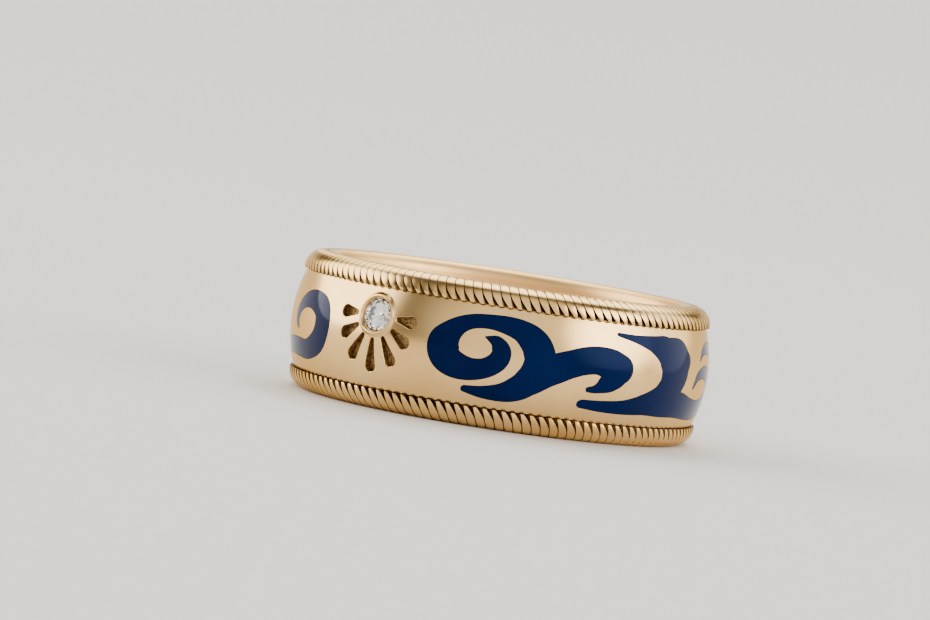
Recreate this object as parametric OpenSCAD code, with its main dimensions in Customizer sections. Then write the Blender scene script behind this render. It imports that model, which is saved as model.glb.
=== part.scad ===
// Enamel ring: a plain inner sleeve with two corded rims, and between them a domed band
// with scrolls of sunk enamel and one small brilliant-cut stone over a fan of rays.
// The finger axis is +Z, and the origin is the middle of the face that the ring lies on.
// Angles round the ring are counted from the front, which is -Y, towards +X.

/* [Sleeve] */
// Diameter of the finger hole
bore_d = 17.5; // [15:0.1:20]
// Height of the ring along the finger, crest to crest
ring_h = 7.2; // [7.1:0.1:8]
// Wall of the sleeve behind the band
sleeve_wall = 1.05; // [0.9:0.05:1.1]
// Radius of the soft inner edge at each end of the hole
comfort_r = 0.6; // [0.3:0.05:0.8]

/* [Corded rims] */
// Radius of each rim's rounded section
cord_r = 0.9; // [0.8:0.05:1]
// How far the middle of a rim's section lies outside the hole's wall
cord_out = 1.01; // [0.95:0.01:1.1]
// Number of turns of the cord round each rim
cord_turns = 140; // [60:2:140]
// Lean of the cord's grooves from the finger axis
cord_lean = 30; // [0:1:35]
// Depth of a groove at the rim's lip
groove_deep = 0.18; // [0.1:0.01:0.2]
// Slope of a groove's bottom towards the finger
groove_slope = 8; // [4:1:12]
// Spread of a groove's two walls
groove_spread = 65; // [40:1:65]

/* [Band] */
// Width of the domed band
band_w = 5.06; // [4.8:0.02:5.1]
// Diameter over the middle of the dome
band_d = 21.92; // [21.8:0.02:22.2]
// How much lower the dome is at its edges
band_rise = 0.46; // [0.3:0.02:0.6]
// Gap between the band and the sleeve, all round
seat_gap = 0.05; // [0.02:0.01:0.06]

/* [Enamel] */
// Depth of the enamel in the band
enamel_deep = 0.35; // [0.2:0.05:0.4]
// Gap between the enamel and the walls of its cell
cell_gap = 0.02; // [0.01:0.01:0.03]

/* [Stone] */
// Diameter of the stone
stone_d = 1.6; // [1.4:0.1:1.7]
// Angle of the stone round the ring
stone_angle = -35.5; // [-37:0.5:-34]
// Height of the stone above the middle of the band
stone_up = 1.15; // [1:0.05:1.25]
// Width of the metal collar round the stone
collar_w = 0.22; // [0.16:0.02:0.26]
// How far the collar stands out of the band
collar_out = 0.1; // [0.05:0.01:0.15]
// Number of rays in the fan below the stone
ray_count = 7; // [5:2:7]
// Depth of the rays
ray_deep = 0.4; // [0.2:0.05:0.45]

/* [Hidden] */
$fn = 96;

gold = "#d9ad72";
blue = "#16357f";
stone_white = "#e8eef4";

mid_z = ring_h / 2;
bore_r = bore_d / 2;
cord_mid_r = bore_r + cord_out;
cord_mid_z = mid_z - cord_r;
channel_r = bore_r + sleeve_wall;
channel_z = band_w / 2 + seat_gap;

// The dome is an arc through the band's two edges and its middle
dome_r = ((band_w / 2) ^ 2 + band_rise ^ 2) / (2 * band_rise);
dome_mid_r = band_d / 2 - dome_r;
function surface_r(z) = dome_mid_r + sqrt(dome_r ^ 2 - z ^ 2);

// Strokes of the scrolls. Each row is a point on the line that the stroke follows.
// The columns are the angle round the ring, the height over the middle of the band,
// and the stroke's width there in mm.
scroll_stroke = [
    [-7.6, -1.72, 0.32], [-3.3, -1.76, 0.57], [1.4, -1.67, 0.86], [5, -1.44, 1.17],
    [8, -1.05, 1.37], [10.3, -0.44, 1.52], [11.1, 0.22, 1.58], [9.9, 0.84, 1.52],
    [7.7, 1.26, 1.34], [4.8, 1.55, 1.06], [1.2, 1.7, 0.87], [-3, 1.75, 0.7],
    [-7.2, 1.67, 0.68], [-10.4, 1.44, 0.78], [-12.8, 1.06, 1.04], [-14.4, 0.56, 1.42],
    [-14.5, 0.06, 1.48], [-13.2, -0.37, 1.42], [-10.4, -0.63, 1.31], [-7, -0.71, 1.13],
    [-3.6, -0.6, 1], [-1, -0.33, 0.98], [0.5, 0.02, 0.98], [0.6, 0.44, 0.92],
    [-1, 0.82, 0.62], [-3.8, 0.98, 0.06]];
swell_stroke = [
    [6, -1.38, 1.06], [9, -0.86, 1.5], [12.6, -0.32, 1.62], [16, -0.04, 1.5],
    [19.6, 0.25, 1.38], [23.5, 0.5, 1.37], [27.4, 0.6, 1.38], [31, 0.48, 1.52],
    [34, 0.28, 1.5]];
hook_stroke = [
    [33.4, 0.2, 1.42], [32.5, -0.11, 1.34], [31.1, -0.41, 1.08], [29.6, -0.62, 0.8],
    [28.3, -0.77, 0.52], [27, -0.86, 0.36], [25.5, -0.9, 0.26]];
breaker_stroke = [
    [33, 2, 0.16], [39.6, 1.85, 0.4], [45.6, 1.68, 0.86], [50.8, 1.36, 1.6],
    [53.7, 0.68, 1.74], [53.7, -0.3, 1.74], [50.4, -1.02, 1.62], [44.4, -1.36, 1.12],
    [37.6, -1.6, 0.74], [31, -1.67, 0.57], [24.5, -1.65, 0.42]];
shoulder_stroke = [
    [49.6, 1.5, 1.16], [53, 1.42, 1.36], [57.2, 1.34, 1.42], [60.3, 0.96, 1.14]];
fall_stroke = [
    [60.3, 0.7, 0.9], [59.3, 0.3, 1.1], [57.6, -0.2, 1.16], [55.6, -0.85, 1.1]];
ground_stroke = [
    [46, -1.4, 1.02], [51.6, -1.26, 1.38], [59.6, -1.28, 1.34], [66.4, -1.48, 1.14],
    [73, -1.56, 1.04], [79, -1.38, 1.12], [85.4, -0.8, 1.3], [90, 0.1, 1.3]];
high_spray = [
    [71, 1.04, 0.12], [73.8, 1.46, 0.42], [78.8, 1.62, 0.6], [84.4, 1.36, 0.78],
    [88.6, 0.8, 0.92], [90.2, 0.2, 1]];
low_spray = [
    [67.3, -0.36, 0.18], [70, 0.2, 0.5], [75, 0.4, 0.64], [80.4, 0.22, 0.78],
    [85.4, -0.3, 0.9]];
curl_stroke = [
    [-97, -1.56, 0.14], [-90.6, -1.6, 0.36], [-83.8, -1.48, 0.6], [-77, -1.36, 0.84],
    [-70, -1.36, 0.96], [-63.4, -1.36, 1], [-57.8, -0.84, 1.26], [-55.9, 0, 1.3],
    [-57.4, 0.84, 1.26], [-63, 1.2, 0.98], [-68.6, 1.04, 0.84], [-71.9, 0.5, 0.74],
    [-71.9, -0.04, 0.5], [-70.4, -0.36, 0.16]];

// Each scroll has its strokes and the angle of its middle
wave_scroll = [[scroll_stroke, swell_stroke, hook_stroke], 10];
crest_scroll = [
    [breaker_stroke, shoulder_stroke, fall_stroke, ground_stroke, high_spray, low_spray],
    58];
curl_scroll = [[curl_stroke], -74];

// How far round the band the same scrolls come again
wave_again = 126;
crest_again = 126;
curl_again = -42;

line_steps = 4;
// A wide end of a stroke is drawn with more sides than a fine tip
function cap_steps(line, i) = line[i][2] > 0.6 ? 10 : 5;

// A row as a flat point beside the scroll's middle, with its width kept
function flat_row(row, middle) = [surface_r(row[1]) * sin(row[0] - middle), row[1], row[2]];

// A smooth line through the rows, which passes through every one of them
function cubic(a, b, c, d, t) =
    b + (c - a) * t / 2 + (2 * a - 5 * b + 4 * c - d) * t ^ 2 / 2
    + (3 * b - a - 3 * c + d) * t ^ 3 / 2;
function smooth(rows) = [
    for (i = [0:len(rows) - 2], k = [0:line_steps - 1])
        let (b = rows[i], c = rows[i + 1],
            a = i > 0 ? rows[i - 1] : 2 * b - c,
            d = i < len(rows) - 2 ? rows[i + 2] : 2 * c - b)
        cubic(a, b, c, d, k / line_steps),
    rows[len(rows) - 1]];

// The direction of the line at one of its points, as an angle
function heading(line, i) =
    let (from = line[max(i - 1, 0)], to = line[min(i + 1, len(line) - 1)])
    atan2(to[1] - from[1], to[0] - from[0]);

// The point at an angle and distance from the line's point
function beside(line, i, angle, grow) =
    [line[i][0], line[i][1]]
    + (line[i][2] / 2 + grow) * [cos(heading(line, i) + angle), sin(heading(line, i) + angle)];

// One stroke of varying width with round ends
module stroke(rows, middle, grow) {
    line = smooth([for (row = rows) flat_row(row, middle)]);
    last = len(line) - 1;
    near = cap_steps(line, 0);
    far = cap_steps(line, last);
    polygon([
        for (i = [0:last]) beside(line, i, -90, grow),
        for (k = [1:far - 1]) beside(line, last, -90 + 180 * k / far, grow),
        for (i = [last:-1:0]) beside(line, i, 90, grow),
        for (k = [1:near - 1]) beside(line, 0, 90 + 180 * k / near, grow)]);
}

module scroll_outline(scroll, grow) {
    for (rows = scroll[0])
        stroke(rows, scroll[1], grow);
}

// Stands a flat outline on the band at an angle, pushed outwards through its wall
module pushed_out(angle) {
    inside_r = 8;
    reach = 4;
    rotate([0, 0, angle])
        rotate([90, 0, 0])
            translate([0, 0, inside_r])
                linear_extrude(reach) children();
}

// The layer of the dome between two depths under its surface
module dome_layer(top, bottom) {
    rotate_extrude($fn = 256)
        intersection() {
            difference() {
                translate([dome_mid_r, 0]) circle(dome_r - top, $fn = 256);
                translate([dome_mid_r, 0]) circle(dome_r - bottom, $fn = 256);
            }
            translate([bore_r, -band_w / 2]) square([4, band_w]);
        }
}

// One island of enamel, flush with the dome
module enamel_island(scroll, again = 0) {
    color(blue)
        translate([0, 0, mid_z])
            intersection() {
                dome_layer(0, enamel_deep);
                pushed_out(scroll[1] + again) scroll_outline(scroll, 0);
            }
}

// The cell that an island lies in
module enamel_cell(scroll, again = 0) {
    intersection() {
        dome_layer(-0.5, enamel_deep + cell_gap);
        pushed_out(scroll[1] + again) scroll_outline(scroll, cell_gap);
    }
}

// Sleeve

module sleeve_section() {
    soft_z = mid_z - comfort_r;
    soft_r = bore_r + comfort_r;
    difference() {
        union() {
            translate([bore_r, -soft_z]) square([channel_r - bore_r, 2 * soft_z]);
            for (side = [-1, 1]) {
                translate([soft_r, side * soft_z]) circle(comfort_r);
                translate([cord_mid_r, side * cord_mid_z]) circle(cord_r);
                translate([soft_r, side > 0 ? soft_z : -mid_z])
                    square([cord_mid_r - soft_r, comfort_r]);
            }
        }
        translate([channel_r, -channel_z]) square([2, 2 * channel_z]);
    }
}

// One groove between two turns of the cord, which runs out towards the rim's crest
module cord_groove() {
    lip_r = cord_mid_r + sqrt(cord_r ^ 2 - (channel_z - cord_mid_z) ^ 2);
    reach = 0.3;
    below = 0.3;
    half_w = reach * tan(groove_spread / 2);
    translate([lip_r - groove_deep, 0, channel_z])
        rotate([cord_lean, 0, 0])
            rotate([0, -groove_slope, 0])
                translate([0, 0, -below])
                    linear_extrude(below + cord_r + groove_deep)
                        polygon([[0, 0], [reach, -half_w], [reach, half_w]]);
}

module sleeve() {
    color(gold)
        translate([0, 0, mid_z])
            difference() {
                rotate_extrude($fn = 256) sleeve_section();
                for (turned = [0, 180], k = [0:cord_turns - 1])
                    rotate([turned, 0, 0])
                        rotate([0, 0, k * 360 / cord_turns])
                            cord_groove();
            }
}

// Band

// Puts children where the stone sits, with their +Z along the dome's outward normal
module at_stone() {
    tip_back = asin(stone_up / dome_r);
    rotate([0, 0, stone_angle])
        translate([0, -surface_r(stone_up), stone_up])
            rotate([90 - tip_back, 0, 0])
                children();
}

// The stone's proportions, as shares of its diameter
table_share = 0.56;
crown_share = 0.14;
girdle_share = 0.03;
pavilion_share = 0.42;
stone_r = stone_d / 2;
// The girdle's upper edge lies this far over the dome's surface
girdle_z = -0.1;
crown_h = crown_share * stone_d;
girdle_h = girdle_share * stone_d;
pavilion_h = pavilion_share * stone_d;

collar_r = stone_r + collar_w;

// The hole for the stone: a slanted mouth, a straight wall and a cone under the girdle
module stone_seat() {
    wall_r = stone_r + cell_gap;
    drill_r = wall_r * 0.4;
    land_w = 0.08;
    seat_z = girdle_z - girdle_h - cell_gap;
    cone_h = pavilion_h * 0.6;
    drill_z = seat_z - pavilion_h - 0.04;
    over_z = collar_out + 0.1;
    mouth_slope = (collar_r - land_w - wall_r) / (collar_out - girdle_z);
    rotate_extrude()
        polygon([
            [0, over_z], [wall_r + mouth_slope * (over_z - girdle_z), over_z],
            [wall_r, girdle_z], [wall_r, seat_z],
            [drill_r, seat_z - cone_h], [drill_r, drill_z], [0, drill_z]]);
}

// The fan of rays, drawn flat with the stone's place at its middle
ray_near = 1.22;
ray_near_w = 0.2;
ray_spread = 29;
function ray_lean(k) = (k - (ray_count - 1) / 2) * ray_spread;
// Rays that point down are longer than those that point sideways
function ray_far(lean) = 2.02 + 0.56 * cos(lean) ^ 2;
ray_far_r = 0.31;

module ray_fan() {
    for (k = [0:ray_count - 1])
        rotate(ray_lean(k))
            translate([0, -ray_near]) {
                reach = ray_far(ray_lean(k)) - ray_near;
                polygon([[-ray_near_w / 2, 0], [ray_near_w / 2, 0],
                    [ray_far_r, -reach], [-ray_far_r, -reach]]);
                translate([0, -reach]) circle(ray_far_r, $fn = 48);
            }
}

module band() {
    color(gold)
        translate([0, 0, mid_z])
            difference() {
                union() {
                    rotate_extrude($fn = 256)
                        intersection() {
                            translate([dome_mid_r, 0]) circle(dome_r, $fn = 256);
                            translate([channel_r + seat_gap, -band_w / 2]) square([2, band_w]);
                        }
                    at_stone()
                        translate([0, 0, -0.5])
                            cylinder(r = collar_r, h = 0.5 + collar_out);
                }
                at_stone() stone_seat();
                intersection() {
                    dome_layer(-0.5, ray_deep);
                    pushed_out(stone_angle)
                        translate([0, stone_up]) ray_fan();
                }
                for (again = [0, 1]) {
                    enamel_cell(wave_scroll, again * wave_again);
                    enamel_cell(crest_scroll, again * crest_again);
                    enamel_cell(curl_scroll, again * curl_again);
                }
            }
}

// Stone

// A round brilliant: a table, eight kites and sixteen small facets above the girdle,
// and eight kites and sixteen small facets below it, which meet in a point
module stone() {
    table_r = stone_r * table_share;
    star_r = stone_r * 0.76;
    lower_r = stone_r * 0.24;
    // A side point of a kite lies in the plane through the kite's two ends
    star_h = crown_h * (1 - star_r / stone_r * cos(22.5)) / (1 - table_share);
    lower_h = pavilion_h * (1 - lower_r / stone_r * cos(22.5));
    function ring(r, z, n, first) = [
        for (k = [0:n - 1]) [r * cos(first + k * 360 / n), r * sin(first + k * 360 / n), z]];
    points = concat(
        ring(table_r, crown_h, 8, 0),
        ring(star_r, star_h, 8, 22.5),
        ring(stone_r, 0, 16, 0),
        ring(stone_r, -girdle_h, 16, 0),
        ring(lower_r, -girdle_h - lower_h, 8, 22.5),
        [[0, 0, -girdle_h - pavilion_h]]);
    star = 8;
    upper = 16;
    lower = 32;
    pav = 48;
    culet = 56;
    faces = concat(
        [[for (k = [7:-1:0]) k]],
        [for (k = [0:7]) [k, (k + 1) % 8, star + k]],
        [for (k = [0:7]) [k, star + k, upper + 2 * k, star + (k + 7) % 8]],
        [for (k = [0:7]) [star + k, upper + 2 * k + 1, upper + 2 * k]],
        [for (k = [0:7]) [star + k, upper + (2 * k + 2) % 16, upper + 2 * k + 1]],
        [for (k = [0:15]) [upper + k, upper + (k + 1) % 16, lower + (k + 1) % 16, lower + k]],
        [for (k = [0:7]) [pav + k, lower + 2 * k, lower + 2 * k + 1]],
        [for (k = [0:7]) [pav + k, lower + 2 * k + 1, lower + (2 * k + 2) % 16]],
        [for (k = [0:7]) [culet, pav + (k + 7) % 8, lower + 2 * k, pav + k]]);
    color(stone_white)
        translate([0, 0, mid_z])
            at_stone()
                translate([0, 0, girdle_z])
                    polyhedron(points, faces);
}

// Enamel

module enamel_wave() {
    enamel_island(wave_scroll);
}

module enamel_crest() {
    enamel_island(crest_scroll);
}

module enamel_curl() {
    enamel_island(curl_scroll);
}

module enamel_wave_back() {
    enamel_island(wave_scroll, wave_again);
}

module enamel_crest_back() {
    enamel_island(crest_scroll, crest_again);
}

module enamel_curl_back() {
    enamel_island(curl_scroll, curl_again);
}

sleeve();
band();
stone();
enamel_wave();
enamel_crest();
enamel_curl();
enamel_wave_back();
enamel_crest_back();
enamel_curl_back();
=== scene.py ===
import math

import bpy
from mathutils import Matrix, Vector


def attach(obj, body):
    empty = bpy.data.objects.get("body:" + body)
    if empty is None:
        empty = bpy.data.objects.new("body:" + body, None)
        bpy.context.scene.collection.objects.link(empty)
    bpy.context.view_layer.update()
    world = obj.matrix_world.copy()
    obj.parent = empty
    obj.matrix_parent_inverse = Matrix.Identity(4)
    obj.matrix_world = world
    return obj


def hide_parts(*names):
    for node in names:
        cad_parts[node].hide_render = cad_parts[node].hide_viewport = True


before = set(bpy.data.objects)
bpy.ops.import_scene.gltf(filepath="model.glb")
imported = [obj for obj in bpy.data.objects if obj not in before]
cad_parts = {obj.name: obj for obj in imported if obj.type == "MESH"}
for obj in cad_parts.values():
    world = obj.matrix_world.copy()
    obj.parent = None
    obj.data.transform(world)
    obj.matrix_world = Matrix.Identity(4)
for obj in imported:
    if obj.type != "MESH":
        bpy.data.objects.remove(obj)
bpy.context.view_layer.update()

# Sizes in mm, as in the part. Heights are counted from the middle of the band.

bore_r = 8.75
ring_h = 7.2
sleeve_wall = 1.05
comfort_r = 0.6

cord_r = 0.9
cord_out = 1.01
cord_turns = 140

band_w = 5.06
band_d = 21.92
band_rise = 0.46
seat_gap = 0.05

enamel_deep = 0.35
cell_gap = 0.02

stone_r = 0.8
stone_angle = -35.5
stone_up = 1.15
collar_w = 0.22
collar_out = 0.1
girdle_z = -0.1
girdle_h = 0.048
pavilion_h = 0.672
ray_count = 7
ray_deep = 0.4

mid_z = ring_h / 2
cord_mid_r = bore_r + cord_out
cord_mid_z = mid_z - cord_r
channel_r = bore_r + sleeve_wall
channel_z = band_w / 2 + seat_gap
collar_r = stone_r + collar_w

# The dome is an arc through the band's two edges and its middle
dome_r = ((band_w / 2) ** 2 + band_rise ** 2) / (2 * band_rise)
dome_mid_r = band_d / 2 - dome_r


def surface_r(height):
    return dome_mid_r + math.sqrt(dome_r ** 2 - height ** 2)


# Strokes of the scrolls, as in the part. The columns are the angle round the ring from
# the front towards +X, the height over the middle of the band, and the stroke's width.

scroll_stroke = [
    (-7.6, -1.72, 0.32), (-3.3, -1.76, 0.57), (1.4, -1.67, 0.86), (5, -1.44, 1.17),
    (8, -1.05, 1.37), (10.3, -0.44, 1.52), (11.1, 0.22, 1.58), (9.9, 0.84, 1.52),
    (7.7, 1.26, 1.34), (4.8, 1.55, 1.06), (1.2, 1.7, 0.87), (-3, 1.75, 0.7),
    (-7.2, 1.67, 0.68), (-10.4, 1.44, 0.78), (-12.8, 1.06, 1.04), (-14.4, 0.56, 1.42),
    (-14.5, 0.06, 1.48), (-13.2, -0.37, 1.42), (-10.4, -0.63, 1.31), (-7, -0.71, 1.13),
    (-3.6, -0.6, 1), (-1, -0.33, 0.98), (0.5, 0.02, 0.98), (0.6, 0.44, 0.92),
    (-1, 0.82, 0.62), (-3.8, 0.98, 0.06)]
swell_stroke = [
    (6, -1.38, 1.06), (9, -0.86, 1.5), (12.6, -0.32, 1.62), (16, -0.04, 1.5),
    (19.6, 0.25, 1.38), (23.5, 0.5, 1.37), (27.4, 0.6, 1.38), (31, 0.48, 1.52),
    (34, 0.28, 1.5)]
hook_stroke = [
    (33.4, 0.2, 1.42), (32.5, -0.11, 1.34), (31.1, -0.41, 1.08), (29.6, -0.62, 0.8),
    (28.3, -0.77, 0.52), (27, -0.86, 0.36), (25.5, -0.9, 0.26)]
breaker_stroke = [
    (33, 2, 0.16), (39.6, 1.85, 0.4), (45.6, 1.68, 0.86), (50.8, 1.36, 1.6),
    (53.7, 0.68, 1.74), (53.7, -0.3, 1.74), (50.4, -1.02, 1.62), (44.4, -1.36, 1.12),
    (37.6, -1.6, 0.74), (31, -1.67, 0.57), (24.5, -1.65, 0.42)]
shoulder_stroke = [
    (49.6, 1.5, 1.16), (53, 1.42, 1.36), (57.2, 1.34, 1.42), (60.3, 0.96, 1.14)]
fall_stroke = [
    (60.3, 0.7, 0.9), (59.3, 0.3, 1.1), (57.6, -0.2, 1.16), (55.6, -0.85, 1.1)]
ground_stroke = [
    (46, -1.4, 1.02), (51.6, -1.26, 1.38), (59.6, -1.28, 1.34), (66.4, -1.48, 1.14),
    (73, -1.56, 1.04), (79, -1.38, 1.12), (85.4, -0.8, 1.3), (90, 0.1, 1.3)]
high_spray = [
    (71, 1.04, 0.12), (73.8, 1.46, 0.42), (78.8, 1.62, 0.6), (84.4, 1.36, 0.78),
    (88.6, 0.8, 0.92), (90.2, 0.2, 1)]
low_spray = [
    (67.3, -0.36, 0.18), (70, 0.2, 0.5), (75, 0.4, 0.64), (80.4, 0.22, 0.78),
    (85.4, -0.3, 0.9)]
curl_stroke = [
    (-97, -1.56, 0.14), (-90.6, -1.6, 0.36), (-83.8, -1.48, 0.6), (-77, -1.36, 0.84),
    (-70, -1.36, 0.96), (-63.4, -1.36, 1), (-57.8, -0.84, 1.26), (-55.9, 0, 1.3),
    (-57.4, 0.84, 1.26), (-63, 1.2, 0.98), (-68.6, 1.04, 0.84), (-71.9, 0.5, 0.74),
    (-71.9, -0.04, 0.5), (-70.4, -0.36, 0.16)]

# Each scroll's name, strokes, the angle of its middle, and the turn to its copy behind
scrolls = [
    ("enamel_wave", [scroll_stroke, swell_stroke, hook_stroke], 10, 126),
    ("enamel_crest",
     [breaker_stroke, shoulder_stroke, fall_stroke, ground_stroke, high_spray, low_spray],
     58, 126),
    ("enamel_curl", [curl_stroke], -74, -42)]

# How finely the visible surfaces are divided
line_steps = 10
cap_steps = 20
band_step = 0.5
dome_rows = 28


# Helpers for the operators


def only(piece):
    """Leaves this piece alone selected, so that operators act on nothing else."""
    bpy.ops.object.select_all(action="DESELECT")
    piece.select_set(True)
    bpy.context.view_layer.objects.active = piece


def edit_all(piece):
    """Opens a piece in edit mode with all of its points selected."""
    only(piece)
    bpy.ops.object.mode_set(mode="EDIT")
    bpy.ops.mesh.select_all(action="SELECT")


def leave_edit():
    bpy.ops.object.mode_set(mode="OBJECT")


def named(name):
    """Names the object that the last operator made."""
    piece = bpy.context.object
    piece.name = name
    piece.data.name = name
    return piece


def apply(piece, kind, **settings):
    """Adds a modifier with its settings and applies it."""
    only(piece)
    modifier = piece.modifiers.new(kind.lower(), kind)
    for key, value in settings.items():
        setattr(modifier, key, value)
    bpy.ops.object.modifier_apply(modifier=modifier.name)


def cut(piece, operation, other, solver="EXACT"):
    """Joins, cuts or crosses a piece with another one, which is then removed."""
    apply(piece, "BOOLEAN", operation=operation, object=other, solver=solver,
          material_mode="TRANSFER")
    bpy.data.objects.remove(other)


def close(piece, near=1e-4):
    """Merges points that lie on each other and turns the faces outwards."""
    edit_all(piece)
    bpy.ops.mesh.remove_doubles(threshold=near)
    bpy.ops.mesh.normals_make_consistent(inside=False)
    leave_edit()


def spin(piece, turn, steps, copies=False):
    """Spins all of a piece round the finger axis by a turn in degrees."""
    edit_all(piece)
    bpy.ops.mesh.spin(steps=steps, angle=math.radians(turn), center=(0, 0, 0),
                      axis=(0, 0, 1), dupli=copies)
    leave_edit()


def spun(name, section, step, span, copies=1):
    """A closed section, given as (radius, height), spun by a span in degrees, and copied
    on round the finger axis. A whole ring closes on itself, and a part gets two ends."""
    bpy.ops.mesh.primitive_circle_add(vertices=len(section), fill_type="NOTHING")
    piece = named(name)
    for point, (r, z) in zip(piece.data.vertices, section):
        point.co = (r, 0, z)
    spin(piece, span, round(span / step))
    if copies > 1:
        spin(piece, span * (copies - 1), copies - 1, copies=True)
    close(piece)
    if span * copies < 360:
        edit_all(piece)
        bpy.ops.mesh.fill_holes(sides=0)
        leave_edit()
        close(piece)
    return piece


def rolled(name, rings):
    """A closed wall: a grid is rolled through rings of points, and its two ends filled."""
    across = len(rings[0])
    bpy.ops.mesh.primitive_grid_add(x_subdivisions=across, y_subdivisions=len(rings) - 1)
    piece = named(name)
    for i, point in enumerate(piece.data.vertices):
        point.co = rings[i // (across + 1)][i % (across + 1) % across]
    edit_all(piece)
    bpy.ops.mesh.remove_doubles(threshold=1e-5)
    bpy.ops.mesh.fill_holes(sides=0)
    leave_edit()
    close(piece, 1e-5)
    return piece


def arc(mid_r, middle_z, radius, first, last, steps):
    """Points (radius, height) on an arc of a section, from one angle to another."""
    turns = [first + (last - first) * k / steps for k in range(steps + 1)]
    return [(mid_r + radius * math.cos(math.radians(t)),
             middle_z + radius * math.sin(math.radians(t))) for t in turns]


# Materials


def linear(hex_colour):
    """An sRGB hex colour as the linear values that the shaders take."""
    parts = [int(hex_colour[i:i + 2], 16) / 255 for i in (1, 3, 5)]
    bent = [c / 12.92 if c <= 0.04045 else ((c + 0.055) / 1.055) ** 2.4 for c in parts]
    return (*bent, 1)


def add(material, kind, links=(), **settings):
    """Adds a node. Links are (its input, a node, that node's output)."""
    tree = material.node_tree
    made = tree.nodes.new(kind)
    for key, value in settings.items():
        if key in made.inputs:
            made.inputs[key].default_value = value
        else:
            setattr(made, key.lower().replace(" ", "_"), value)
    for into, source, out in links:
        tree.links.new(source.outputs[out], made.inputs[into])
    return made


def new_material(name, **surface):
    """A material with a Principled surface, and the coordinates of its object."""
    material = bpy.data.materials.new(name)
    material.use_nodes = True
    material.node_tree.nodes.clear()
    place = add(material, "ShaderNodeTexCoord")
    shader = add(material, "ShaderNodeBsdfPrincipled", **surface)
    add(material, "ShaderNodeOutputMaterial", [("Surface", shader, "BSDF")])
    return material, place, shader


def link(material, source, out, target, into):
    material.node_tree.links.new(source.outputs[out], target.inputs[into])


def ramp(material, source, out, stops):
    """A colour ramp over a node's output, from (place, hex colour) stops."""
    made = add(material, "ShaderNodeValToRGB", [("Fac", source, out)])
    bands = made.color_ramp.elements
    for k, (at, colour) in enumerate(stops):
        band = bands[k] if k < len(bands) else bands.new(at)
        band.position = at
        band.color = linear(colour)
    return made


def buffed_gold(name, light, deep, haze):
    """18 carat gold, buffed: soft bright reflections, with faint hair marks of the buff."""
    material, place, shader = new_material(name, Metallic=1.0, Roughness=haze)
    # Seen along the surface, gold stays warm instead of turning white
    shader.inputs["Specular Tint"].default_value = linear("#EFDDBE")
    # Clouds about 3 mm wide, where the alloy and the buffing vary a little
    clouds = add(material, "ShaderNodeTexNoise", [("Vector", place, "Object")],
                 Scale=350.0, Detail=2.0)
    tint = ramp(material, clouds, "Fac", [(0.3, deep), (0.7, light)])
    link(material, tint, "Color", shader, "Base Color")
    # Hair marks 0.04 mm wide that run round the ring; real ones are finer
    stretch = add(material, "ShaderNodeMapping", [("Vector", place, "Object")])
    stretch.inputs["Scale"].default_value = (1, 1, 9)
    marks = add(material, "ShaderNodeTexNoise", [("Vector", stretch, "Vector")],
                Scale=2600.0, Detail=3.0, Roughness=0.6)
    rough = add(material, "ShaderNodeMapRange", [("Value", marks, "Fac")])
    rough.inputs["To Min"].default_value = haze - 0.03
    rough.inputs["To Max"].default_value = haze + 0.05
    link(material, rough, "Result", shader, "Roughness")
    bump = add(material, "ShaderNodeBump", [("Height", marks, "Fac")],
               Strength=0.04, Distance=0.00002)
    link(material, bump, "Normal", shader, "Normal")
    return material


def blasted_shade_gold():
    """The same gold, blasted with fine grit for a sandy grain, and darkened to a dull brown:
    painted shade in the sunk floor.
    """
    material, place, shader = new_material(
        "grit_blasted_painted_shade", Metallic=1.0, Roughness=0.55)
    # Grain of 0.12 mm; the real grit is finer
    grit = add(material, "ShaderNodeTexNoise", [("Vector", place, "Object")],
               Scale=8500.0, Detail=2.0)
    # The dark browns are painted shade; the grain's flecks are the blasted texture
    tint = ramp(material, grit, "Fac", [(0.38, "#6B5333"), (0.62, "#B3935F")])
    link(material, tint, "Color", shader, "Base Color")
    bump = add(material, "ShaderNodeBump", [("Height", grit, "Fac")],
               Strength=0.8, Distance=0.00006)
    link(material, bump, "Normal", shader, "Normal")
    return material


def painted_shade_gold():
    """Gold in the recesses of the cord, darkened to brown: painted shade where the grooves
    and pits fall into shadow.
    """
    material, place, shader = new_material(
        "painted_shade_in_recesses", Metallic=1.0, Roughness=0.42)
    # Painted shade, dark brown, blotched in spots of 0.1 mm
    shade_blotches = add(material, "ShaderNodeTexNoise", [("Vector", place, "Object")],
               Scale=9000.0, Detail=2.0)
    tint = ramp(material, shade_blotches, "Fac", [(0.35, "#4A3418"), (0.7, "#8A6532")])
    link(material, tint, "Color", shader, "Base Color")
    return material


def fired_enamel():
    """Vitreous enamel, fired and stoned flush: midnight blue glass with a soft gloss."""
    material, place, shader = new_material(
        "fired_midnight_enamel", Roughness=0.08, IOR=1.45)
    # The gloss comes back blue through the glass's own depth
    shader.inputs["Specular IOR Level"].default_value = 0.16
    shader.inputs["Specular Tint"].default_value = linear("#7FA6F2")
    # The glass is a little thinner or thicker over 4 mm or so, which moves its depth of blue
    pools = add(material, "ShaderNodeTexNoise", [("Vector", place, "Object")],
                Scale=250.0, Detail=1.0)
    tint = ramp(material, pools, "Fac", [(0.25, "#000B2C"), (0.75, "#00123E")])
    link(material, tint, "Color", shader, "Base Color")
    # A faint orange peel of 0.3 mm from the fire
    peel = add(material, "ShaderNodeTexNoise", [("Vector", place, "Object")],
               Scale=3200.0, Detail=1.0)
    bump = add(material, "ShaderNodeBump", [("Height", peel, "Fac")],
               Strength=0.03, Distance=0.00003)
    link(material, bump, "Normal", shader, "Normal")
    return material


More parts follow.
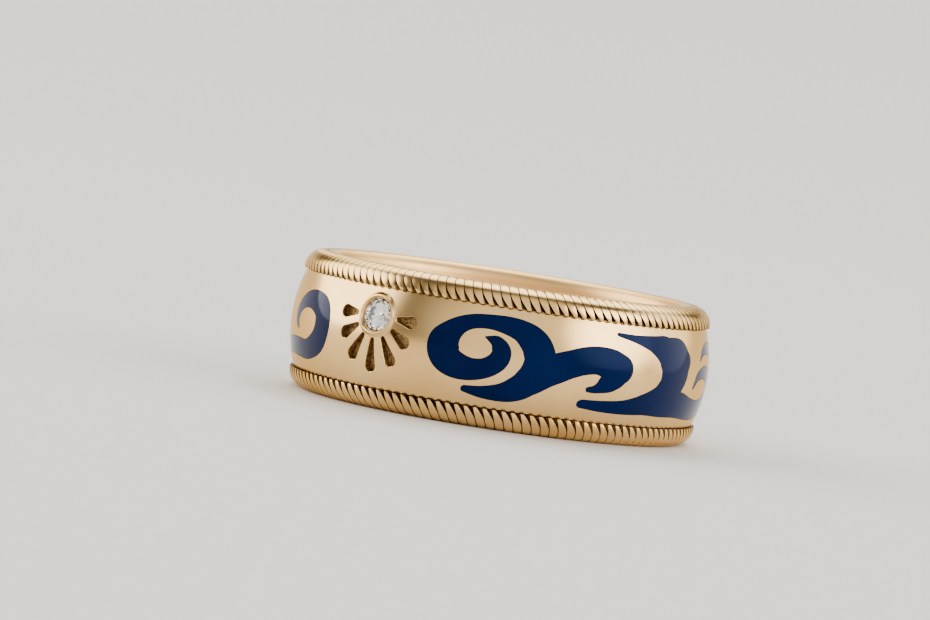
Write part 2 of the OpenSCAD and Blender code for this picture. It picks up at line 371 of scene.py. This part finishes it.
def cut_diamond():
    """Diamond, cut and polished: clear, with sharp white and dark flashes."""
    material, place, shader = new_material(
        "polished_diamond", Roughness=0.0, IOR=2.417)
    shader.inputs["Transmission Weight"].default_value = 1.0
    # Less glare off the table, so that the facets show through it
    shader.inputs["Specular Tint"].default_value = linear("#9C9C9C")
    # A breath of warmth that drifts through the stone over half a millimetre
    drift = add(material, "ShaderNodeTexNoise", [("Vector", place, "Object")],
                Scale=1800.0, Detail=1.0)
    tint = ramp(material, drift, "Fac", [(0.2, "#F7F9FF"), (0.8, "#FFFDF8")])
    link(material, tint, "Color", shader, "Base Color")
    return material


band_gold = buffed_gold("buffed_gold_band", "#EEC888", "#E4BB77", 0.18)
sleeve_gold = buffed_gold("buffed_gold_rims", "#EEC888", "#E2B973", 0.16)
bore_gold = buffed_gold("satin_gold_bore", "#EFC483", "#E6B974", 0.4)
painted_recess_shade = painted_shade_gold()
ray_floor_shade = blasted_shade_gold()
enamel = fired_enamel()
diamond = cut_diamond()


def in_place(piece, *materials):
    """Lifts a finished piece on to its lowest face, brings it to metres and dresses it."""
    piece.data.transform(
        Matrix.Scale(0.001, 4) @ Matrix.Translation((0, 0, mid_z)))
    piece.data.update()
    if materials:
        piece.data.materials.clear()
    for material in materials:
        piece.data.materials.append(material)


def smooth_by_angle(piece, angle):
    only(piece)
    bpy.ops.object.shade_smooth_by_angle(angle=math.radians(angle))


def true_dome(piece):
    """Gives what lies on the dome the dome's own normals, which the cuts had disturbed."""
    mesh = piece.data
    normals = [Vector((0, 0, 0))] * len(mesh.loops)
    for face in mesh.polygons:
        places = [mesh.vertices[i].co for i in face.vertices]
        if any(abs(p.xy.length - surface_r(p.z)) > 2e-4 for p in places):
            continue
        for corner, p in zip(face.loop_indices, places):
            round_r = p.xy.length
            out = p.xy * ((round_r - dome_mid_r) / round_r)
            normals[corner] = Vector((out.x, out.y, p.z)).normalized()
    mesh.normals_split_custom_set(normals)


# The sleeve with its two corded rims

# Rows from the rim's crest (0) to its lip (1), closer where the pits are
rim_rows = [0, 0.12, 0.24, 0.36, 0.48, 0.56, 0.62, 0.7, 0.78, 0.86, 0.93, 1]
lip_angle = math.degrees(math.asin((channel_z - cord_mid_z) / cord_r))
lip_r = cord_mid_r + cord_r * math.cos(math.radians(lip_angle))
# Lean of the grooves, seen from the front
lobe_lean = 19
# Where the pit under a lobe begins, and its width at the lip in lobes
pit_from = 0.6
pit_w = 0.6
pit_deep = 0.17
# The fine groove above the pit: its width in lobes, and its depth in mm
fine_w = 0.07
fine_deep = 0.05
# At the crest the groove is this much wider and deeper, as far down as the share given
crest_w = 0.05
crest_deep = 0.03
crest_to = 0.3
# Width of the turn from the groove to the lobe's face, and the depth of its rounding
edge_w = 0.05
edge_deep = 0.008
# The rim's top is smooth out to the first radius, and full of lobes from the second
smooth_r = 9.5
lobes_r = 9.62
# How far the lobes run in under the lip, out of sight
under_lip = 0.3
# The bore's satin ends this far out on the soft edge
satin_w = 0.5
# The painted shade begins at this depth in the fine grooves and in the pits
shade_depth_groove = 0.022
shade_depth_pit = 0.036


def rim_table():
    """Rows of the sleeve's upper half, from the middle of the bore out to the channel.

    Each row is a radius, a height, its outward direction, how far down the rim it is
    (0 at the crest, 1 at the lip), how far a groove cuts in, and the groove's drift.
    """
    soft_z = mid_z - comfort_r
    soft_r = bore_r + comfort_r
    rows = [(bore_r, 0, (1, 0), 0, 0, 0)]
    for r, z in arc(soft_r, soft_z, comfort_r, 180, 90, 6):
        rows.append((r, z, (0, 1), 0, 0, 0))
    for r, share in ((smooth_r, 0), (lobes_r, 0.9)):
        rows.append((r, mid_z, (0, 1), 0, share, 0))
    span = math.radians(90 - lip_angle)
    for down in rim_rows:
        out = (math.sin(span * down), math.cos(span * down))
        drift = cord_r * (1 - out[1]) * math.tan(math.radians(lobe_lean))
        rows.append((cord_mid_r + cord_r * out[0], cord_mid_z + cord_r * out[1],
                     out, down, 1, drift))
    rows.append((lip_r - under_lip, channel_z, (1, 0), 1, 0, drift))
    rows.append((channel_r, channel_z, (1, 0), 1, 0, 0))
    return rows


def lobe_section(down):
    """One lobe across, as (place from groove to groove, depth under the rim).

    The lobe before slopes down under this one's edge. Near the crest both ends of the
    lobe are rounded, and near the lip the slope widens to a three-cornered pit.
    """
    pit = max(0, (down - pit_from) / (1 - pit_from))
    crest = max(0, 1 - down / crest_to)
    groove_w = fine_w + crest_w * crest + (pit_w - fine_w) * pit ** 1.5
    deep = fine_deep + crest_deep * crest + pit_deep * pit
    rounded = edge_deep + crest_deep * crest
    edge = groove_w + edge_w
    face = 1 - edge
    return [(0, rounded), (groove_w * 0.55, deep * 0.62), (groove_w, deep),
            (edge, rounded * 0.6), (edge + face * 0.3, 0), (edge + face * 0.7, 0),
            (1, rounded)]


def sleeve():
    upper = rim_table()
    # The lower half is the upper one turned over, so that both rims lean the same way
    rows = [(*row, 1) for row in upper] + [(*row, -1) for row in reversed(upper)]
    across = len(lobe_section(0))
    bpy.ops.mesh.primitive_grid_add(x_subdivisions=across - 1, y_subdivisions=len(rows) - 1)
    piece = named("sleeve_corded")
    pitch = 2 * math.pi / cord_turns
    for i, point in enumerate(piece.data.vertices):
        r, z, out, down, share, drift, side = rows[i // across]
        section = lobe_section(down)
        column, deep = section[i % across] if side > 0 else section[across - 1 - i % across]
        around = r - out[0] * deep * share
        turn = pitch * (column if side > 0 else 1 - column) + side * drift / lip_r
        point.co = (around * math.cos(turn), around * math.sin(turn),
                    side * (z - out[1] * deep * share))
    close(piece, 1e-5)
    spin(piece, 360 * (cord_turns - 1) / cord_turns, cord_turns - 1, copies=True)
    close(piece)
    smooth_by_angle(piece, 34)
    in_place(piece, sleeve_gold, bore_gold, painted_recess_shade)
    # Faces on the bore get the satin, and faces deep in the grooves and pits get the painted
    # shade
    for face in piece.data.polygons:
        r = face.center.xy.length * 1000
        z = abs(face.center.z * 1000 - mid_z)
        deep = cord_r - math.hypot(r - cord_mid_r, z - cord_mid_z)
        down = math.degrees(math.atan2(r - cord_mid_r, z - cord_mid_z)) / (90 - lip_angle)
        shade_begins = shade_depth_groove if down < pit_from + 0.1 else shade_depth_pit
        if r < bore_r + satin_w:
            face.material_index = 1
        elif r > cord_mid_r and deep > shade_begins:
            face.material_index = 2
    return piece


# The scrolls

# A stroke is pushed outwards through the wall from the first radius to the second.
# Each further stroke is a little longer at both ends, so that no two ends share a plane.
push_from = 8
push_to = 12.4
push_more = 0.02
# Cutters stand this far over the dome
cutter_over = 0.5
# The cells are hidden under the glass and are divided more coarsely
cell_step = 1
cell_rows = 12


def smooth(rows, middle):
    """A smooth line through a stroke's rows, laid flat beside the scroll's middle."""
    flat = [Vector((surface_r(z) * math.sin(math.radians(angle - middle)), z, width))
            for angle, z, width in rows]
    line = []
    for i in range(len(flat) - 1):
        b, c = flat[i], flat[i + 1]
        a = flat[i - 1] if i > 0 else 2 * b - c
        d = flat[i + 2] if i < len(flat) - 2 else 2 * c - b
        for k in range(line_steps):
            t = k / line_steps
            line.append(b + (c - a) * (t / 2) + (2 * a - 5 * b + 4 * c - d) * (t * t / 2)
                        + (3 * b - a - 3 * c + d) * (t ** 3 / 2))
    line.append(flat[-1])
    return line


def outline(rows, middle, grow):
    """The flat outline of one stroke of varying width, with round ends."""
    line = smooth(rows, middle)
    last = len(line) - 1

    def beside(i, turn):
        along = line[min(i + 1, last)] - line[max(i - 1, 0)]
        angle = math.atan2(along.y, along.x) + math.radians(turn)
        reach = line[i].z / 2 + grow
        return (line[i].x + reach * math.cos(angle), line[i].y + reach * math.sin(angle))

    right = [beside(i, -90) for i in range(last + 1)]
    far = [beside(last, -90 + 180 * k / cap_steps) for k in range(1, cap_steps)]
    left = [beside(i, 90) for i in range(last, -1, -1)]
    near = [beside(0, 90 + 180 * k / cap_steps) for k in range(1, cap_steps)]
    return right + far + left + near


def stroke_prism(rows, middle, grow, longer):
    """A stroke's outline, pushed outwards through the band's wall."""
    line = outline(rows, middle, grow)
    bpy.ops.mesh.primitive_circle_add(vertices=len(line), fill_type="NGON")
    piece = named("stroke")
    for point, (x, y) in zip(piece.data.vertices, line):
        point.co = (x, longer - push_from, y)
    edit_all(piece)
    bpy.ops.mesh.extrude_region_move(
        TRANSFORM_OT_translate={"value": (0, push_from - push_to - 2 * longer, 0)})
    leave_edit()
    close(piece, 1e-6)
    piece.data.transform(Matrix.Rotation(math.radians(middle), 4, "Z"))
    return piece


def scroll_prism(strokes, middle, grow):
    """All the strokes of a scroll as one prism."""
    prism = stroke_prism(strokes[0], middle, grow, 0)
    for k in range(1, len(strokes)):
        cut(prism, "UNION", stroke_prism(strokes[k], middle, grow, k * push_more))
    return prism


def dome_layer(name, top, bottom, middle, step, rows):
    """A quarter ring between two depths under the dome, about a scroll's middle."""
    # The section runs a little past the band's edges
    tilt = math.degrees(math.asin(band_w / 2 / dome_r)) * 1.05
    outside = arc(dome_mid_r, 0, dome_r - top, tilt, -tilt, rows)
    inside = arc(dome_mid_r, 0, dome_r - bottom, -tilt, tilt, rows)
    piece = spun(name, outside + inside, step, 90)
    # The front is at -90 degrees, and the spin has run clockwise from 0
    piece.data.transform(Matrix.Rotation(math.radians(middle - 90 + 45), 4, "Z"))
    return piece


def enamel_island(name, strokes, middle):
    """One island of enamel, flush with the dome."""
    island = dome_layer(name + "_glass", 0, enamel_deep, middle, band_step, dome_rows)
    cut(island, "INTERSECT", scroll_prism(strokes, middle, 0))
    return island


def enamel_cell(strokes, middle):
    """The hollow that an island lies in, with its gap."""
    cell = dome_layer("cell", -cutter_over, enamel_deep + cell_gap, middle, cell_step,
                      cell_rows)
    cut(cell, "INTERSECT", scroll_prism(strokes, middle, cell_gap))
    return cell


def copy_turned(piece, name, turn):
    """A copy with a mesh of its own, turned round the finger axis."""
    other = piece.copy()
    other.data = piece.data.copy()
    other.name = name
    other.data.name = name
    bpy.context.collection.objects.link(other)
    other.data.transform(Matrix.Rotation(math.radians(turn), 4, "Z"))
    return other


# The band with its collar and rays

tip_back = math.asin(stone_up / dome_r)
at_stone = (Matrix.Rotation(math.radians(stone_angle), 4, "Z")
            @ Matrix.Translation((0, -surface_r(stone_up), stone_up))
            @ Matrix.Rotation(math.pi / 2 - tip_back, 4, "X"))


def turned(name, profile, steps=96):
    """A turned shape on the stone's axis, from (radius, height) points."""
    rings = []
    for r, z in profile:
        turns = [2 * math.pi * k / steps for k in range(steps)]
        rings.append([at_stone @ Vector((r * math.cos(t), r * math.sin(t), z))
                      for t in turns])
    return rolled(name, rings)


def stone_collar():
    """The collar swells out of the dome and rounds over to its land.

    The columns are the radius and the height over the dome, on the stone's axis.
    """
    return turned("collar", [
        (1.24, -0.4), (1.235, -0.2), (1.2, -0.125), (1.15, -0.08), (1.1, -0.035),
        (1.06, 0.01), (1.035, 0.045), (1.015, 0.075), (0.995, 0.092), (0.97, collar_out)])


def stone_seat():
    """The slanted mouth, the straight wall and the cone below the girdle."""
    wall_r = stone_r + cell_gap
    drill_r = wall_r * 0.4
    seat_z = girdle_z - girdle_h - cell_gap
    # The collar's flat land is 0.08 mm wide, and the mouth's edge is softened below it
    mouth_r = collar_r - 0.08
    return turned("seat", [
        (mouth_r + 0.09, collar_out + 0.08), (mouth_r + 0.012, collar_out + 0.002),
        (mouth_r - 0.004, collar_out - 0.014), (wall_r, girdle_z), (wall_r, seat_z),
        (drill_r, seat_z - pavilion_h * 0.6), (drill_r, seat_z - pavilion_h - 0.04)])


# Each ray begins beside the collar and ends in a round
ray_near = 1.22
ray_near_w = 0.2
ray_far_r = 0.31
ray_spread = 29
side_points = 7
round_steps = 12
# A ray's wall, from the floor up, as the height over the dome and how far it opens there
ray_wall = [(-ray_deep, 0), (-0.06, 0), (-0.02, 0.015), (0.005, 0.045), (0.2, 0.06)]


def ray_outline(lean, grow):
    """The flat outline of one ray, narrow beside the stone and round at its far end."""
    # Rays that point down are longer than those that point sideways
    reach = 2.02 + 0.56 * math.cos(math.radians(lean)) ** 2
    points = []
    for k in range(side_points):
        t = k / side_points
        half = ray_near_w / 2 + (ray_far_r - ray_near_w / 2) * t
        points.append((half + grow, -ray_near - (reach - ray_near) * t))
    for k in range(round_steps + 1):
        turn = math.pi * k / round_steps
        points.append(((ray_far_r + grow) * math.cos(turn),
                       -reach - (ray_far_r + grow) * math.sin(turn)))
    points += [(-x, y) for x, y in reversed(points[:side_points])]
    # The near end is closed by a short round
    points[0] = (ray_near_w / 2 + grow * 0.7, -ray_near + grow * 0.7)
    points[-1] = (-points[0][0], points[0][1])
    points.append((0, -ray_near + grow + 0.03))
    return points


def on_dome(x, y, rise):
    """A flat point of the fan, carried on to the dome below the stone."""
    y += stone_up
    reach = math.sqrt((surface_r(y) + rise) ** 2 - x * x)
    return Matrix.Rotation(math.radians(stone_angle), 4, "Z") @ Vector((x, -reach, y))


def ray(k):
    """One sunk ray: a floor, upright walls, and a fine polished edge at the surface."""
    lean = (k - (ray_count - 1) / 2) * ray_spread
    turn = math.radians(lean)
    rings = []
    for rise, grow in ray_wall:
        rings.append([
            on_dome(x * math.cos(turn) - y * math.sin(turn),
                    x * math.sin(turn) + y * math.cos(turn), rise)
            for x, y in ray_outline(lean, grow)])
    piece = rolled("ray", rings)
    piece.data.materials.append(band_gold)
    piece.data.materials.append(ray_floor_shade)
    for face in piece.data.polygons:
        deepest = min(piece.data.vertices[i].co.xy.length
                      - surface_r(piece.data.vertices[i].co.z) for i in face.vertices)
        # The blasting and its painted shade reach the floor and the walls, up to the
        # polished edge
        face.material_index = 1 if deepest < -0.3 else 0
    return piece


def band(cells):
    half = band_w / 2
    tilt = math.degrees(math.asin(half / dome_r))
    section = arc(dome_mid_r, 0, dome_r, tilt, -tilt, dome_rows)
    section += [(channel_r + seat_gap, -half), (channel_r + seat_gap, half)]
    piece = spun("band_domed", section, band_step, 10, 36)
    piece.data.materials.append(band_gold)
    cut(piece, "UNION", stone_collar())
    cut(piece, "DIFFERENCE", stone_seat())
    for k in range(ray_count):
        cut(piece, "DIFFERENCE", ray(k))
    for cell in cells:
        cut(piece, "DIFFERENCE", cell)
    smooth_by_angle(piece, 30)
    true_dome(piece)
    in_place(piece)
    return piece


# Making the ring

sleeve_piece = sleeve()
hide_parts("sleeve")
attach(sleeve_piece, "root")

cells = []
islands = []
for name, strokes, middle, again in scrolls:
    island = enamel_island(name, strokes, middle)
    cell = enamel_cell(strokes, middle)
    island_back = copy_turned(island, name + "_back_glass", again)
    islands += [(island, name), (island_back, name + "_back")]
    cells += [cell, copy_turned(cell, "cell_back", again)]

band_piece = band(cells)
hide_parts("band")
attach(band_piece, "root")

for island, name in islands:
    smooth_by_angle(island, 30)
    true_dome(island)
    in_place(island, enamel)
    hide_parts(name)
    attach(island, "root")

stone_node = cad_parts["stone"]
stone_node.data.materials.clear()
stone_node.data.materials.append(diamond)


# Studio


def pale_paper():
    """Matte studio paper: a pale warm grey with hardly any tooth."""
    material, place, shader = new_material("matte_studio_paper", Roughness=0.75)
    # Tooth of the paper, 1 mm wide
    tooth = add(material, "ShaderNodeTexNoise", [("Vector", place, "Object")],
                Scale=1000.0, Detail=2.0)
    tint = ramp(material, tooth, "Fac", [(0.3, "#CAC6C0"), (0.7, "#CECAC4")])
    link(material, tint, "Color", shader, "Base Color")
    return material


# The floor in metres: its side, the height of its back wall before the corner is
# rounded, the rounding's radius, and the height at which the wall is cut off
floor_side = 1.6
wall_h = 0.9
corner_r = 0.6
wall_cut = 0.2


def sweep():
    """A plain floor that curves up behind the ring, with no edge in view."""
    bpy.ops.mesh.primitive_plane_add(size=floor_side, location=(0, 0, 0))
    piece = named("floor_sweep")
    edit_all(piece)
    bpy.ops.mesh.select_all(action="DESELECT")
    leave_edit()
    bpy.context.tool_settings.mesh_select_mode = (False, True, False)
    for edge in piece.data.edges:
        edge.select = all(piece.data.vertices[i].co.y > 0.5 for i in edge.vertices)
    bpy.ops.object.mode_set(mode="EDIT")
    bpy.ops.mesh.extrude_region_move(TRANSFORM_OT_translate={"value": (0, 0, wall_h)})
    leave_edit()
    for edge in piece.data.edges:
        edge.select = all(
            piece.data.vertices[i].co.y > 0.5 and piece.data.vertices[i].co.z < 0.1
            for i in edge.vertices)
    bpy.ops.object.mode_set(mode="EDIT")
    bpy.ops.mesh.bevel(offset=corner_r, segments=40, affect="EDGES")
    # Only the foot of the curve is in view, and light comes in over it
    bpy.ops.mesh.select_all(action="SELECT")
    bpy.ops.mesh.bisect(plane_co=(0, 0, wall_cut), plane_no=(0, 0, 1), clear_outer=True)
    leave_edit()
    bpy.context.tool_settings.mesh_select_mode = (True, False, False)
    only(piece)
    bpy.ops.object.shade_smooth()
    piece.data.materials.append(pale_paper())
    return piece


sweep()


world = bpy.data.worlds.new("studio_air")
world.use_nodes = True
world.node_tree.nodes.clear()
bpy.context.scene.world = world
aim = add(world, "ShaderNodeTexCoord")
# Even air: brighter before the ring than behind it
depth = add(world, "ShaderNodeSeparateXYZ", [("Vector", aim, "Generated")])
share = add(world, "ShaderNodeMapRange", [("Value", depth, "Y")])
share.inputs["From Min"].default_value = 1
share.inputs["From Max"].default_value = -1
tent = ramp(world, share, "Result", [(0.0, "#4A4846"), (0.5, "#6A6866"), (1.0, "#8C8A87")])
light = add(world, "ShaderNodeBackground", [("Color", tent, "Color")], Strength=1.0)

# Soft panels of the tent. The columns are the angle round the ring from the front, the
# angle above the table, the half widths of the bright middle and of the whole, the
# strength and the colour.
panels = [
    (-103, 16, 22, 41, 6.0, "#FFF9F0"),
    (12, 16, 18, 66, 1.15, "#FFF9F0"),
    (66, 20, 9, 31, 6.4, "#FFF9F0"),
    (112, 18, 12, 32, 2.8, "#FFFBF4"),
    (176, 56, 16, 40, 5.4, "#FFFFFF")]
for around, above, inner, outer, strength, colour in panels:
    flat = math.cos(math.radians(above))
    toward = add(world, "ShaderNodeVectorMath", [("Vector", aim, "Generated")],
                 operation="DOT_PRODUCT")
    toward.inputs[1].default_value = (
        math.sin(math.radians(around)) * flat, -math.cos(math.radians(around)) * flat,
        math.sin(math.radians(above)))
    fade = add(world, "ShaderNodeMapRange", [("Value", toward, "Value")],
               interpolation_type="SMOOTHSTEP")
    fade.inputs["From Min"].default_value = math.cos(math.radians(outer))
    fade.inputs["From Max"].default_value = math.cos(math.radians(inner))
    fade.inputs["To Max"].default_value = strength
    panel = add(world, "ShaderNodeBackground", [("Strength", fade, "Result")],
                Color=linear(colour))
    both = add(world, "ShaderNodeAddShader")
    link(world, light, 0, both, 0)
    link(world, panel, 0, both, 1)
    light = both
add(world, "ShaderNodeOutputWorld", [("Surface", light, 0)])

# The camera is at the photo's angle: 215 mm away, just above the table, and rolled.
# The middle of the view lies a little to the left of the ring's middle and over it, and
# the lens is given in pixels of a view that is 930 wide.
distance = 215.0
rise = math.radians(3.475)
roll = math.radians(8.755)
view_middle = Vector((-2.0637, 0, 1.5627))
lens_px = 4123.07
view_px = 930
sensor_w = 36
middle = Vector((0, 0, mid_z))
spot = Vector((0, -distance * math.cos(rise), distance * math.sin(rise)))
look = (view_middle - spot).normalized()
right = look.cross(Vector((0, 0, 1))).normalized()
up = right.cross(look)
rolled_right = right * math.cos(roll) + up * math.sin(roll)
rolled_up = up * math.cos(roll) - right * math.sin(roll)
turn = Matrix((rolled_right, rolled_up, -look)).transposed().to_4x4()
bpy.ops.object.camera_add()
camera = bpy.context.object
camera.name = "camera"
camera.data.sensor_width = sensor_w
camera.data.lens = lens_px / view_px * sensor_w
camera.data.clip_start = 0.01
camera.data.clip_end = 10
camera.matrix_world = Matrix.Translation((spot + middle) * 0.001) @ turn
bpy.context.scene.camera = camera
